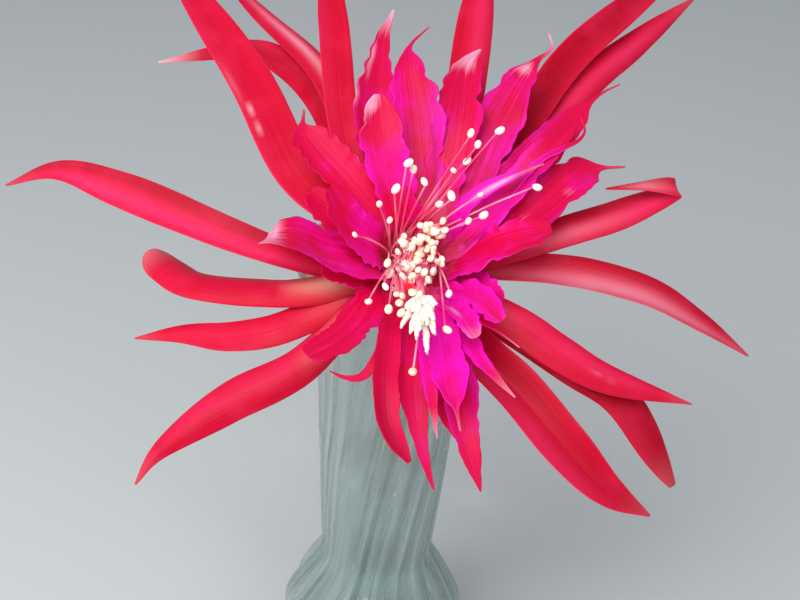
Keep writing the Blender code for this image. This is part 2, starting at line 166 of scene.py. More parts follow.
def ramp(tree, value, *stops):
    """A mask that passes through the given (place, shade) stops."""
    made = node(tree, "ShaderNodeValToRGB", {0: value})
    band = made.color_ramp.elements
    while len(band) < len(stops):
        band.new(0.5)
    for element, (place, shade) in zip(band, stops):
        element.position = place
        element.color = (shade, shade, shade, 1)
    return made.outputs[0]


def mixed(tree, mask, under, over, blend="MIX"):
    """Two colours mixed by a mask."""
    made = node(tree, "ShaderNodeMix", {0: mask, 6: under, 7: over}, data_type="RGBA", blend_type=blend)
    return made.outputs[2]


def new_finish(name, **constants):
    """A material, its node tree and its shader, with the shader's plain values set."""
    finish = bpy.data.materials.new(name)
    finish.use_nodes = True
    shader = finish.node_tree.nodes["Principled BSDF"]
    for socket, value in constants.items():
        shader.inputs[socket.replace("_", " ")].default_value = value
    return finish, finish.node_tree, shader


def dressed(piece, finish, slot, *nodes):
    """Shade a piece smooth, give it its material, hang it under the root, and hide the solids it stands for.
    """
    pick(piece)
    bpy.ops.object.shade_smooth()
    piece.data.materials.clear()
    piece.data.materials.append(finish)
    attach(piece, "root")
    if nodes:
        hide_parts(*nodes)


outer_wall = [(point.x, point.y) for point in smooth_line([(*p, 0) for p in VASE_OUTER], VASE_ROWS)]
wall_heights, wall_radii = zip(*sorted((height, radius) for radius, height in outer_wall))
inner_floor = BASE_THICKNESS + BASE_CORNER
inner_wall = [(radius - VASE_WALL, height) for radius, height in outer_wall if height > inner_floor]
profile = [(0, 0), (FOOT_RADIUS * 0.5, 0), (FOOT_RADIUS * 0.94, 0), (FOOT_RADIUS, 0.15)]
foot_rows = len(profile)
profile += list(reversed(outer_wall))
profile += [(VASE_OUTER[0][0] - LIP_ROUND, LIP_HEIGHT), (inner_wall[0][0] + LIP_ROUND, LIP_HEIGHT)]
profile += inner_wall
profile += [(inner_wall[-1][0] - BASE_CORNER * 0.3, BASE_THICKNESS + BASE_CORNER * 0.35)]
profile += [(inner_wall[-1][0] - BASE_CORNER, BASE_THICKNESS), (FOOT_RADIUS * 0.48, BASE_THICKNESS)]
profile += [(0, BASE_THICKNESS)]
last_outer = foot_rows + len(outer_wall)
vase = new_grid("fluted_vase", VASE_SIDES, len(profile) - 1)
for vertex in vase.data.vertices:
    row = round((vertex.co.y + 0.5) * (len(profile) - 1))
    turn = (vertex.co.x + 0.5) * 2 * math.pi
    radius, height = profile[row]
    if row >= foot_rows:
        fade = max(0, min(height / FLUTE_FADE_FOOT, (LIP_HEIGHT - height) / FLUTE_FADE_LIP, 1))
        depth = FLUTE_DEPTH if row < last_outer else INSIDE_FLUTE_DEPTH
        drift = noise.noise(Vector((math.cos(turn) * 2, math.sin(turn) * 2, height / 60)))
        wander = 1 + FLUTE_WANDER * drift
        if radius > FOOT_RADIUS * 0.6:
            radius += depth * fade * wander * math.cos(FLUTES * turn)
    turn += SWIRL * height / LIP_HEIGHT
    vertex.co = (radius * math.cos(turn) * MM, radius * math.sin(turn) * MM, height * MM)
closed_up(vase)

vase_glass, tree, shader = new_finish("satin_glass", Transmission_Weight=0.8, IOR=1.46,
                                      Coat_Weight=0.5, Coat_Roughness=0.08)
uv = node(tree, "ShaderNodeUVMap").outputs[0]
long_streaks = node(tree, "ShaderNodeMapping", {"Vector": uv, "Scale": (46, 2.2, 1)})
streaks = node(tree, "ShaderNodeTexNoise", {"Vector": long_streaks.outputs[0], "Scale": 1, "Detail": 3})
fine_streaks = node(tree, "ShaderNodeMapping", {"Vector": uv, "Scale": (150, 5, 1)})
threads_and_highlights = node(tree, "ShaderNodeTexNoise", {"Vector": fine_streaks.outputs[0], "Scale": 1, "Detail": 2})
# The streaks are partly the glass's own and partly painted: the darker ones are painted refraction, and the
# pale threads painted highlights along the ribs.
streak_and_refraction_mask = ramp(tree, streaks.outputs[0], (0.36, 0), (0.64, 1))
thread_and_highlight_mask = ramp(tree, threads_and_highlights.outputs[0], (0.45, 0), (0.7, 1))
tint = mixed(tree, streak_and_refraction_mask, GLASS_DEEP, GLASS_PALE)
tint = mixed(tree, maths(tree, "MULTIPLY", thread_and_highlight_mask, 0.7), tint, GLASS_THREAD_AND_HIGHLIGHT)
place = node(tree, "ShaderNodeTexCoord").outputs["Object"]
upper = node(tree, "ShaderNodeSeparateXYZ", {0: place}).outputs[2]
# Painted light: the glass is painted paler up the neck, towards the lip.
neck_painted_light = node(tree, "ShaderNodeMapRange", {"Value": upper, "From Min": NECK_LIGHT_FROM, "From Max": NECK_LIGHT_FULL,
                                          "To Max": 0.6})
tint = mixed(tree, neck_painted_light.outputs[0], tint, GLASS_THREAD_AND_HIGHLIGHT)
tree.links.new(tint, shader.inputs["Base Color"])
grain = node(tree, "ShaderNodeTexNoise", {"Vector": place, "Scale": 900, "Detail": 2})
roughness = node(tree, "ShaderNodeMapRange", {"Value": streaks.outputs[0], "To Min": 0.16, "To Max": 0.4})
tree.links.new(roughness.outputs[0], shader.inputs["Roughness"])
height = maths(tree, "MULTIPLY_ADD", grain.outputs[0], 0.25, streaks.outputs[0])
bump = node(tree, "ShaderNodeBump", {"Strength": 0.25, "Distance": 0.0008, "Height": height})
tree.links.new(bump.outputs[0], shader.inputs["Normal"])
dressed(vase, vase_glass, "vase_glass", "vase")

# The water fills the bulb and half the neck. It creeps up a little where it meets the glass,
# and the flower's ovary stands in it.
WATER_LEVEL = 112
WATER_GAP = 0.35
WATER_SIDES = 96
STEM_GAP = 0.4
MENISCUS = 0.9
TUBE_ROUTE = ((5, -3, 183), (4.5, 8, 164), (3.5, 14.6, 146),
              (2.5, 14, 130), (2, 10.5, 113), (2, 7.5, 92))
OVARY_RADIUS = 5.8

wetted = [(radius - VASE_WALL - INSIDE_FLUTE_DEPTH - WATER_GAP, height) for radius, height in outer_wall
          if inner_floor < height < WATER_LEVEL]
edge = np.interp(WATER_LEVEL, wall_heights, wall_radii) - VASE_WALL - INSIDE_FLUTE_DEPTH - WATER_GAP
water_floor = BASE_THICKNESS + WATER_GAP
profile = [(0, water_floor), (wetted[-1][0] - BASE_CORNER, water_floor), *reversed(wetted)]
profile += [(edge, WATER_LEVEL + MENISCUS), (edge - 1, WATER_LEVEL + 0.3 * MENISCUS)]
profile += [(edge - 2.2, WATER_LEVEL), (0, WATER_LEVEL)]
water = new_grid("still_water", WATER_SIDES, len(profile) - 1)
for vertex in water.data.vertices:
    radius, height = profile[round((vertex.co.y + 0.5) * (len(profile) - 1))]
    turn = (vertex.co.x + 0.5) * 2 * math.pi
    vertex.co = (radius * math.cos(turn) * MM, radius * math.sin(turn) * MM, height * MM)
closed_up(water)


def rod(name, points, radii, sides=3, ends=True):
    """A round rod along smooth points, as a mesh, with a radius at each of them."""
    bpy.ops.object.select_all(action="DESELECT")
    bpy.ops.curve.primitive_bezier_curve_add()
    line = bpy.context.object
    line.name = name
    line.data.splines.remove(line.data.splines[0])
    spline = line.data.splines.new("POLY")
    spline.points.add(len(points) - 1)
    for knot, point, radius in zip(spline.points, points, radii):
        knot.co = (*point, 1)
        knot.radius = radius
    line.data.bevel_depth = 1
    line.data.bevel_resolution = sides
    line.data.use_fill_caps = ends
    bpy.ops.object.convert(target="MESH")
    closed_up(line)
    return line


stem_line = [point * MM for point in smooth_line(TUBE_ROUTE, 24)]
stem_line.append(stem_line[-1] + (stem_line[-1] - stem_line[-2]).normalized() * STEM_GAP * MM)
hole = rod("stem_hole", stem_line, [(OVARY_RADIUS + STEM_GAP) * MM] * len(stem_line), 6)
worked(water, "BOOLEAN", operation="DIFFERENCE", object=hole, solver="EXACT")
bpy.data.objects.remove(hole)
clear_water, tree, shader = new_finish("clear_water", Base_Color=(0.93, 0.97, 0.96, 1), Roughness=0.02,
                                       IOR=1.33, Transmission_Weight=1.0)
ripple = node(tree, "ShaderNodeTexNoise", {"Vector": node(tree, "ShaderNodeTexCoord").outputs["Object"],
                                           "Scale": 60, "Detail": 1})
bump = node(tree, "ShaderNodeBump", {"Strength": 0.1, "Distance": 0.0005, "Height": ripple.outputs[0]})
tree.links.new(bump.outputs[0], shader.inputs["Normal"])
dressed(water, clear_water, "vase_water", "water")

# Behind the petals the flower narrows into its floral tube, which bends down the neck into
# the water and ends in the ovary. It is waxy, green below and flushed with red above.
BLOOM_LEAN = math.radians(35)
BLOOM = Matrix.Translation(THROAT) @ Matrix.Rotation(BLOOM_LEAN, 4, "X")
TUBE_RADIUS = 4.6
OVARY_END = 4.3
CUP_TOP_RADIUS, CUP_FLOOR_RADIUS = 11.2, 5
CUP_FLOOR = -30
CUP_OUTSIDE = ((-33, 5), (-30, 5.7), (-25, 7), (-20, 8.1), (-14, 9.4), (-8, 10.6), (-3, 11.8),
               (-0.5, 12.2))
CUP_INSIDE = ((0, 11.7), (-3, 10.7), (-10, 9.1), (-20, 7), (-28, 5.3), (-29.6, 4), (-30, 0))
TUBE_SIDES = 40
TUBE_RIBS, RIB_HEIGHT = 9, 0.16
TUBE_GREEN = (0.13, 0.22, 0.04, 1)
TUBE_RED = (0.42, 0.02, 0.035, 1)
# The cup's inside: partly its own red, partly painted light through its thin walls.
CUP_PAINTED_GLOW = (1, 0.16, 0.24, 1)

stations = [(point / MM, OVARY_RADIUS) for point in reversed(stem_line[:-1])]
tube_heights = (0, 1.5, 4, 8, 10.5, 24)
tube_radii = (1, 3.2, OVARY_END + 1.1, OVARY_RADIUS, TUBE_RADIUS, TUBE_RADIUS)
stations = [(centre, np.interp(i, tube_heights, tube_radii)) for i, (centre, _) in enumerate(stations)]
bloom_axis = BLOOM.to_3x3() @ Vector((0, 0, 1))


def on_axis(height):
    """The point on the flower's axis at a height from its throat, in millimetres."""
    return THROAT / MM + bloom_axis * height


for height, radius in (*CUP_OUTSIDE, *CUP_INSIDE):
    stations.append((on_axis(height), radius))
tube = new_grid("floral_tube", TUBE_SIDES, len(stations) - 1)
inside_from = len(stations) - len(CUP_INSIDE)
for vertex in tube.data.vertices:
    row = round((vertex.co.y + 0.5) * (len(stations) - 1))
    turn = (vertex.co.x + 0.5) * 2 * math.pi
    centre, radius = stations[row]
    tangent = (stations[min(row + 1, inside_from - 1)][0] - stations[min(row, inside_from - 1) - 1][0])
    tangent = bloom_axis if row == 0 or row >= inside_from - 1 else tangent.normalized()
    side = (Vector((1, 0, 0)) - tangent * tangent.x).normalized()
    ribs = RIB_HEIGHT * math.cos(TUBE_RIBS * turn) if 3 < row < inside_from else 0
    around = side * math.cos(turn) + tangent.cross(side) * math.sin(turn)
    vertex.co = (centre + around * (radius + ribs)) * MM
closed_up(tube)
worked(tube, "SUBSURF", levels=1, render_levels=1)

tube_skin, tree, shader = new_finish(
    "waxy_tube", Roughness=0.36, Specular_IOR_Level=0.4, Subsurface_Weight=0.2, Subsurface_Scale=0.002,
    Subsurface_Radius=(1, 0.3, 0.2))
uv = node(tree, "ShaderNodeUVMap").outputs[0]
along = node(tree, "ShaderNodeSeparateXYZ", {0: uv}).outputs[1]
place = node(tree, "ShaderNodeTexCoord").outputs["Object"]
blotches = node(tree, "ShaderNodeTexNoise", {"Vector": place, "Scale": 160, "Detail": 4}).outputs[0]
flush = ramp(tree, maths(tree, "MULTIPLY_ADD", blotches, 0.25, along), (0.32, 0), (0.68, 1))
tint = mixed(tree, flush, TUBE_GREEN, TUBE_RED)
# The inside of the cup is painted bright red, partly its own colour and partly painted light.
tint = mixed(tree, ramp(tree, along, (0.78, 0), (0.86, 1)), tint, CUP_PAINTED_GLOW)
tree.links.new(tint, shader.inputs["Base Color"])
stripes = node(tree, "ShaderNodeMapping", {"Vector": uv, "Scale": (60, 5, 1)})
lines = node(tree, "ShaderNodeTexNoise", {"Vector": stripes.outputs[0], "Scale": 1, "Detail": 2})
bump = node(tree, "ShaderNodeBump", {"Strength": 0.3, "Distance": 0.0004, "Height": lines.outputs[0]})
tree.links.new(bump.outputs[0], shader.inputs["Normal"])
dressed(tube, tube_skin, "tepal_crimson", "outer_tepals")

# The outer tepals are long narrow straps of thin crimson flesh, smooth and a little glossy.
# Each grows from the rim of the tube, arches outwards and ends in a point or a curled tip.
# Points are (across, up, out) from the throat, in millimetres. Above 0 an arch makes a
# channel, and below 0 the edges roll back.
OUTER_ROOTS = ((11.7, -3), (14.5, 0))
TEPAL_THICKNESS = 0.55
TIP_WIDTH = 0.35
RING_GAP, RING_WALL = 0.4, 1
OUTLINES = {
    "lance": ((0, 0.62), (0.15, 0.82), (0.3, 0.97), (0.45, 1), (0.6, 0.9), (0.75, 0.66), (0.88, 0.35),
              (0.96, 0.13), (1, 0.03)),
    "late": ((0, 0.6), (0.2, 0.82), (0.4, 0.96), (0.58, 1), (0.72, 0.92), (0.84, 0.65), (0.93, 0.32),
             (1, 0.04)),
    "long": ((0, 0.8), (0.2, 0.95), (0.4, 1), (0.6, 0.92), (0.75, 0.71), (0.88, 0.4), (0.96, 0.16),
             (1, 0.03)),
    "strap": ((0, 0.75), (0.2, 0.92), (0.5, 1), (0.85, 1), (0.94, 0.9), (0.985, 0.66), (1, 0.4)),
    "folded": ((0, 0.6), (0.2, 0.88), (0.4, 1), (0.58, 0.98), (0.68, 0.8), (0.75, 0.6), (0.81, 0.58),
               (0.88, 0.32), (1, 0.04)),
    "petal": ((0, 0.6), (0.2, 0.75), (0.4, 0.92), (0.58, 1), (0.74, 0.95), (0.86, 0.7), (0.94, 0.34),
              (1, 0.08)),
    "thread": ((0, 0.6), (0.2, 0.78), (0.45, 1), (0.62, 0.98), (0.75, 0.7), (0.82, 0.3), (0.87, 0.1),
               (1, 0.03)),
    "ragged": ((0, 0.6), (0.3, 0.85), (0.6, 1), (0.76, 1), (0.83, 0.84), (0.87, 0.4), (0.91, 0.12),
               (1, 0.04)),
    "blunt": ((0, 0.6), (0.25, 0.8), (0.5, 0.97), (0.7, 1), (0.86, 0.9), (0.95, 0.7), (1, 0.42)),
    "tailed": ((0, 0.6), (0.3, 0.9), (0.5, 1), (0.64, 0.84), (0.77, 0.48), (0.9, 0.22), (1, 0.05)),
    "curled": ((0, 0.6), (0.25, 0.8), (0.5, 0.97), (0.7, 1), (0.84, 0.9), (0.93, 0.66), (1, 0.2)),
    "spoon": ((0, 0.5), (0.3, 0.78), (0.6, 1), (0.8, 0.92), (0.92, 0.6), (1, 0.2)),
    "flared": ((0, 0.56), (0.2, 0.72), (0.4, 0.9), (0.57, 1), (0.7, 0.89), (0.82, 0.6), (0.92, 0.29),
               (1, 0.04)),
}
CRIMSON = (0.66, 0.002, 0.034, 1)
CRIMSON_DEEP = (0.42, 0.001, 0.018, 1)
ROSE = (0.95, 0.035, 0.15, 1)
PEACH = (1, 0.52, 0.4, 1)
PALE_PINK = (0.93, 0.52, 0.6, 1)


def outline_share(kind, along):
    """Share of a blade's greatest width at a place from its root at 0 to its tip at 1."""
    curve = smooth_line([(place, share, 0) for place, share in OUTLINES[kind]], 60)
    return np.interp(along, [point.x for point in curve], [point.y for point in curve])


def spot(value, centre, reach):
    """A soft mark on a blade: 1 at its centre, and little more than 0 beyond its reach."""
    return math.exp(-((value - centre) / reach) ** 2)


def blade(name, kind, width, points, marks, roots=(), rolls=(0, 0), arch=0, fold=0, ruffle=0.5, teeth=0.02,
          rows=40, columns=10, thickness=TEPAL_THICKNESS):
    """A tepal or petal: a grid laid along its midline, arched, ruffled, marked and thickened."""
    draw = random.Random(name)
    place = Vector([draw.uniform(0, 90) for axis in range(3)])
    outward = Vector(points[0]).to_2d().normalized()
    midline = smooth_line([*((*(outward * radius), height) for radius, height in roots), *points], rows)
    frames = []
    side = None
    for i, point in enumerate(midline):
        tangent = (midline[min(i + 1, rows)] - midline[max(i - 1, 0)]).normalized()
        side = tangent.cross(Vector((0, 0, 1))) if side is None else side - tangent * side.dot(tangent)
        side.normalize()
        angle = math.radians(rolls[0] + (rolls[1] - rolls[0]) * i / rows)
        across = Matrix.Rotation(angle, 3, tangent) @ side
        frames.append((point, across, across.cross(tangent)))
    spreads = [max(width * outline_share(kind, i / rows), TIP_WIDTH) for i in range(rows + 1)]
    sheet = new_grid(name, columns, rows)
    shades = {mark: [] for mark in ("tone", *marks)}
    for vertex in sheet.data.vertices:
        row = round((vertex.co.y + 0.5) * rows)
        along, half = row / rows, 2 * vertex.co.x
        point, across, face = frames[row]
        coarse = noise.noise(Vector((along * 11, math.copysign(2, half), 0)) + place)
        fine = noise.noise(Vector((along * 24, math.copysign(2, half), 5)) + place)
        notch = 1 + teeth * (0.35 * coarse - abs(fine)) * abs(half) ** 4
        slow = noise.noise(Vector((along * 3.1, half * 0.7, 10)) + place)
        wave = noise.noise(Vector((along * 6.5, math.copysign(1.5, half), 20)) + place)
        share = min(spreads[row] / width, 1)
        lift = spreads[row] * (arch * half ** 2 + fold * abs(half)) + 0.5 * slow * share
        lift += ruffle * wave * abs(half) ** 1.6 * share * math.sin(math.pi * along)
        vertex.co = BLOOM @ ((point + across * (half * notch * spreads[row] / 2) + face * lift) * MM)
        shades["tone"].append(draw.random() if not shades["tone"] else shades["tone"][0])
        for mark, shade in marks.items():
            shades[mark].append(min(max(shade(along, half), 0), 1))
    for mark, values in shades.items():
        sheet.data.attributes.new(mark, "FLOAT", "POINT").data.foreach_set("value", values)
    worked(sheet, "SOLIDIFY", thickness=thickness * MM, offset=0)
    worked(sheet, "SUBSURF", levels=1, render_levels=1)
    return sheet


def joined(pieces, name):
    """Join like pieces into one, under one name."""
    bpy.ops.object.select_all(action="DESELECT")
    for piece in pieces:
        piece.select_set(True)
    bpy.context.view_layer.objects.active = pieces[0]
    bpy.ops.object.join()
    pieces[0].name = name
    return pieces[0]


def specks_and_highlights_at(along, half, specks_and_highlights):
    """The pale specks and painted highlights of a blade: where they are along and across it, their size and
    strength.
    """
    return sum(strength * spot(along, start, length) * spot(half, place, breadth)
               for start, place, length, breadth, strength in specks_and_highlights)


def ring(name, low, high):
    """A thin ring that stands inside the cup, a hair clear of its wall, between two heights."""
    outer = [(np.interp(height, (CUP_FLOOR, 0), (CUP_FLOOR_RADIUS, CUP_TOP_RADIUS)) - RING_GAP, height)
             for height in (low, high)]
    inner = [(radius - RING_WALL, height) for radius, height in reversed(outer)]
    profile = [*outer, *inner, outer[0]]
    band = new_grid(name, TUBE_SIDES, len(profile) - 1)
    for vertex in band.data.vertices:
        radius, height = profile[round((vertex.co.y + 0.5) * (len(profile) - 1))]
        turn = (vertex.co.x + 0.5) * 2 * math.pi
        vertex.co = BLOOM @ (Vector((radius * math.cos(turn), radius * math.sin(turn), height)) * MM)
    closed_up(band)
    # The ring takes the full painted light of the throat.
    for attribute, value in (("tone", 0.3), ("magenta", 0.3), ("pale", 0), ("throat_painted_light", 1)):
        band.data.attributes.new(attribute, "FLOAT", "POINT").data.foreach_set(
            "value", [value] * len(band.data.vertices))
    worked(band, "BEVEL", width=0.3 * MM, segments=2)
    return band


def tepal(name, kind, width, points, light=(0.3, 0), painted_shade=(0, 0), peach_glow=0, tip=0.1, specks_and_highlights=(), **shape):
    """A tepal: its painted light and painted shade bands as (strength, place across), peach root and pale
    tip.
    """
    marks = {
        # The light band is painted light and the deep band is painted shade.
        "painted_shade": lambda along, half: painted_shade[0] * spot(half, painted_shade[1], 0.8),
        "light": lambda along, half: light[0] * spot(half, light[1], 0.5) * min(4 * along, 4 - 4 * along, 1),
        # The peach root is partly the tepal's own colour and partly painted glow.
        "peach_glow": lambda along, half: peach_glow * spot(half, 0, 0.5) * min(1, (0.42 - along) / 0.2),
        # The pale tip, and pale specks that are mostly painted highlights.
        "pale": lambda along, half: tip * max(along - 0.88, 0) / 0.12 + specks_and_highlights_at(along, half, specks_and_highlights),
    }
    return blade(name, kind, width, points, marks, roots=OUTER_ROOTS, **shape)


tepals = joined([
    tepal("left_long", "flared", 12.4, ((-29, -4.2, 6), (-56, 1.4, 11), (-92, 15.4, 8), (-114, 23.2, 3),
          (-132.3, 20, -4)), light=(1, -0.4), painted_shade=(0.9, 1), rolls=(4, -24), arch=0.12),
    tepal("left_hook", "strap", 12, ((-20, -9, 7), (-39, -15, 12), (-64, -12.8, 8), (-75.4, -6.1, 3),
          (-82.4, 0.8, -2)), light=(0.1, 0), painted_shade=(0.5, 0.9), peach_glow=1, tip=0.25, rolls=(8, 30), arch=-0.24),
    tepal("left_lower", "long", 10.6, ((-20, -15.8, 7), (-38, -26.8, 10), (-53, -29.2, 6), (-69, -27, -1),
          (-84, -28, -6)), peach_glow=0.15, arch=-0.06, ruffle=0.9),
    tepal("low_left", "flared", 12.8, ((-15, -18, 8), (-31, -38.1, 10), (-51.2, -49.6, 6),
          (-70.6, -63.4, -2), (-77.4, -73.2, -8)), light=(0.4, 0.4), painted_shade=(0.3, 0), peach_glow=0.45,
          rolls=(-8, 0), arch=-0.2),
    tepal("big_upper_left", "long", 15, ((-22, 14, 6), (-38.6, 26, 9), (-56.4, 58, 8), (-79.4, 92, 2),
          (-98, 120, -6)), light=(0.3, -0.9), arch=0.06, specks_and_highlights=((0.5, -0.8, 0.05, 0.06, 0.15),
          (0.425, -0.6, 0.012, 0.08, 0.6), (0.375, -0.6, 0.01, 0.08, 0.5))),
    tepal("dark_upper_left", "lance", 11.2, ((-24, 40.2, 1), (-35, 59.6, 0), (-48, 73, -3),
          (-62, 78.8, -6), (-92, 74.8, -12)), light=(0.3, 0.8), painted_shade=(0.5, 0), tip=0.8, rolls=(0, -36),
          arch=-0.1),
    tepal("slim_upper_left", "late", 10, ((-23, 44, 4), (-35.6, 68.8, 3), (-56.6, 90.6, -2),
          (-76, 112, -8)), light=(1, 0.1), tip=0.3, rolls=(12, 24), arch=-0.1,
          specks_and_highlights=((0.3, 0.1, 0.2, 0.4, 0.6), (0.6, 0.1, 0.2, 0.3, 0.5))),
    tepal("top", "late", 10.6, ((-18, 23, 6), (-25, 43, 8), (-31, 78, 7), (-34, 97, 4), (-36, 123, -3)),
          light=(0.3, -0.8), arch=0.08),
    tepal("top_right", "late", 13, ((11.4, 40, 5), (13.5, 65, 7), (15.6, 95, 4), (18.5, 127, -2)),
          light=(0.7, 0.3), arch=-0.12),
    tepal("right_upper", "late", 11.8, ((26, 38, 4), (44, 72, 5), (62, 95, 3), (91, 129, -6)),
          light=(0.1, 0.7), painted_shade=(0.7, 0), arch=0.06, fold=0.06),
    tepal("right_upper_two", "late", 11, ((26, 30.4, 1), (52.6, 69.4, 2), (71.4, 91, -2),
          (92.6, 114.4, -7)), light=(0.8, 0.1), rolls=(0, 20), arch=-0.14),
    tepal("right_folded", "folded", 11, ((21, 2.6, 6), (42, 10.6, 10), (60, 18.6, 9), (73, 25.6, 7.5),
          (79, 28.8, 7.4), (81, 29.8, 8.4), (81, 29.6, 10), (79.6, 29.2, 11.2), (75.6, 28.8, 12),
          (69, 27.8, 12.8), (58, 25.8, 13.4)), light=(0.8, 0.3), painted_shade=(0.7, -0.9), tip=0, arch=-0.1,
          rows=110, specks_and_highlights=((0.4, 0.3, 0.16, 0.4, 0.2), (0.88, 0, 0.06, 1, 0.3))),
    tepal("right_long", "late", 13.8, ((21, -0.6, 4), (45, -2.1, 9), (70, -5.9, 8), (89, -12.9, 3),
          (106, -19.6, -4)), light=(1, 0.3), painted_shade=(1, -1.4), rolls=(-16, -30), arch=0.14,
          specks_and_highlights=((0.55, 0.4, 0.36, 0.6, 0.4), (0.42, 0.8, 0.08, 0.2, 0.2))),
    tepal("right_lower", "lance", 12, ((18, -12, 8), (34.2, -21.1, 11), (45.2, -28, 11), (60, -34.4, 8),
          (87.4, -37.6, -1)), light=(0.6, -0.3), peach_glow=0.1, arch=-0.08,
          specks_and_highlights=((0.22, -0.2, 0.05, 0.3, 0.25), (0.64, 0, 0.01, 0.1, 0.4), (0.7, 0.1, 0.01, 0.08, 0.3))),
    tepal("right_behind", "spoon", 12.4, ((28, -17, 2), (51, -29.4, 2), (67, -38.2, -1),
          (83.4, -61, -10)), light=(0, 0), painted_shade=(1.3, 0), arch=-0.12),
    tepal("low_right", "late", 15, ((21.6, -29.4, 7), (32.9, -40.3, 8), (47.1, -55.5, 6),
          (60.4, -66.2, 1), (75.6, -71.5, -6)), light=(0.5, 0.7), painted_shade=(0.4, -0.3), arch=0.08, fold=0.16),
], "crimson_tepals")

# Both kinds of petal show the same fine veins and watery cells, which this group draws on
# the petal's own length and breadth.
flesh = bpy.data.node_groups.new("petal_flesh", "ShaderNodeTree")
for label, default in (("Lines", 26.0), ("Cells", 700.0)):
    flesh.interface.new_socket(label, in_out="INPUT", socket_type="NodeSocketFloat").default_value = default
for label in ("Edge", "Along", "Veins", "Height", "Mottle", "Tone"):
    flesh.interface.new_socket(label, in_out="OUTPUT", socket_type="NodeSocketFloat")
given = flesh.nodes.new("NodeGroupInput").outputs
result = flesh.nodes.new("NodeGroupOutput").inputs
uv = node(flesh, "ShaderNodeUVMap").outputs[0]
parts = node(flesh, "ShaderNodeSeparateXYZ", {0: uv}).outputs
edge = maths(flesh, "ABSOLUTE", maths(flesh, "MULTIPLY_ADD", parts[0], 2, -1))
place = node(flesh, "ShaderNodeTexCoord").outputs["Object"]
mottle = node(flesh, "ShaderNodeTexNoise", {"Vector": place, "Scale": 90, "Detail": 4}).outputs[0]
tone = node(flesh, "ShaderNodeAttribute", attribute_name="tone").outputs["Fac"]
stretched = node(flesh, "ShaderNodeCombineXYZ", {0: maths(flesh, "MULTIPLY", parts[0], given[0]),
                                                 1: maths(flesh, "MULTIPLY", parts[1], 2.5),
                                                 2: maths(flesh, "MULTIPLY", tone, 50)})
veins = node(flesh, "ShaderNodeTexNoise", {"Vector": stretched.outputs[0], "Scale": 1, "Detail": 2})
veins = veins.outputs[0]
cells = node(flesh, "ShaderNodeTexVoronoi", {"Vector": place, "Scale": given[1]}).outputs[0]
midrib = ramp(flesh, edge, (0, 1), (0.12, 0))
height = maths(flesh, "MULTIPLY_ADD", cells, 0.12, maths(flesh, "MULTIPLY_ADD", midrib, -0.5, veins))
for i, value in enumerate((edge, parts[1], veins, height, mottle, tone)):
    flesh.links.new(value, result[i])


def mark(tree, name):
    """One of the marks that a blade carries on its mesh."""
    return node(tree, "ShaderNodeAttribute", attribute_name=name).outputs["Fac"]


tepal_flesh, tree, shader = new_finish(
    "crimson_flesh", Roughness=0.45, Specular_IOR_Level=0.12, Subsurface_Weight=0.3, Subsurface_Scale=0.002,
    Subsurface_Radius=(1, 0.2, 0.3), Sheen_Weight=0.02, Sheen_Roughness=0.4, Sheen_Tint=(1, 0.5, 0.6, 1))
pattern = node(tree, "ShaderNodeGroup", node_tree=flesh).outputs
dark = ramp(tree, pattern["Veins"], (0.4, 0.35), (0.58, 0))
dark = maths(tree, "MULTIPLY_ADD", pattern["Tone"], 0.25, dark)
# Painted shade darkens a band across some blades; the veins and the random tone darken them too.
dark = maths(tree, "ADD", dark, mark(tree, "painted_shade"))
tint = mixed(tree, dark, CRIMSON, CRIMSON_DEEP)
tint = mixed(tree, ramp(tree, pattern["Mottle"], (0.45, 0), (0.75, 0.22)), tint, ROSE)
# Painted light: a lighter rose band along some blades, where light falls on them.
tint = mixed(tree, maths(tree, "MULTIPLY", mark(tree, "light"), 0.8), tint, ROSE)
# The peach at the roots is partly their own colour and partly painted glow, brightened where the roots lie
# in shade.
tint = mixed(tree, mark(tree, "peach_glow"), tint, PEACH)
tint = mixed(tree, mark(tree, "pale"), tint, PALE_PINK)
# The margins are lighter rose: partly the thin edge's own colour, partly painted highlight.
tint = mixed(tree, ramp(tree, pattern["Edge"], (0.93, 0), (0.99, 0.35)), tint, ROSE)
tree.links.new(tint, shader.inputs["Base Color"])
rough = node(tree, "ShaderNodeMapRange", {"Value": pattern["Mottle"], "To Min": 0.34, "To Max": 0.5})
tree.links.new(rough.outputs[0], shader.inputs["Roughness"])
bump = node(tree, "ShaderNodeBump", {"Strength": 0.25, "Distance": 0.0003, "Height": pattern["Height"]})
tree.links.new(bump.outputs[0], shader.inputs["Normal"])
dressed(tepals, tepal_flesh, "tepal_crimson", "outer_tepals")

# The inner petals are shorter, broader and thinner, crimson down the middle and magenta at
# the margins. Their edges are ruffled and finely torn, and most tips are pale, with a thread.
INNER_ROOTS = ((9.1, -5), (10.4, 3))
COLLAR = (-12, -2)
PETAL_THICKNESS = 0.45
PETAL_CRIMSON = (0.7, 0.002, 0.07, 1)
PETAL_DEEP = (0.5, 0.001, 0.045, 1)
MAGENTA = (0.88, 0.006, 0.46, 1)
PALE_TIP = (0.97, 0.42, 0.6, 1)
THROAT_PAINTED_ROSE = (1, 0.12, 0.2, 1)


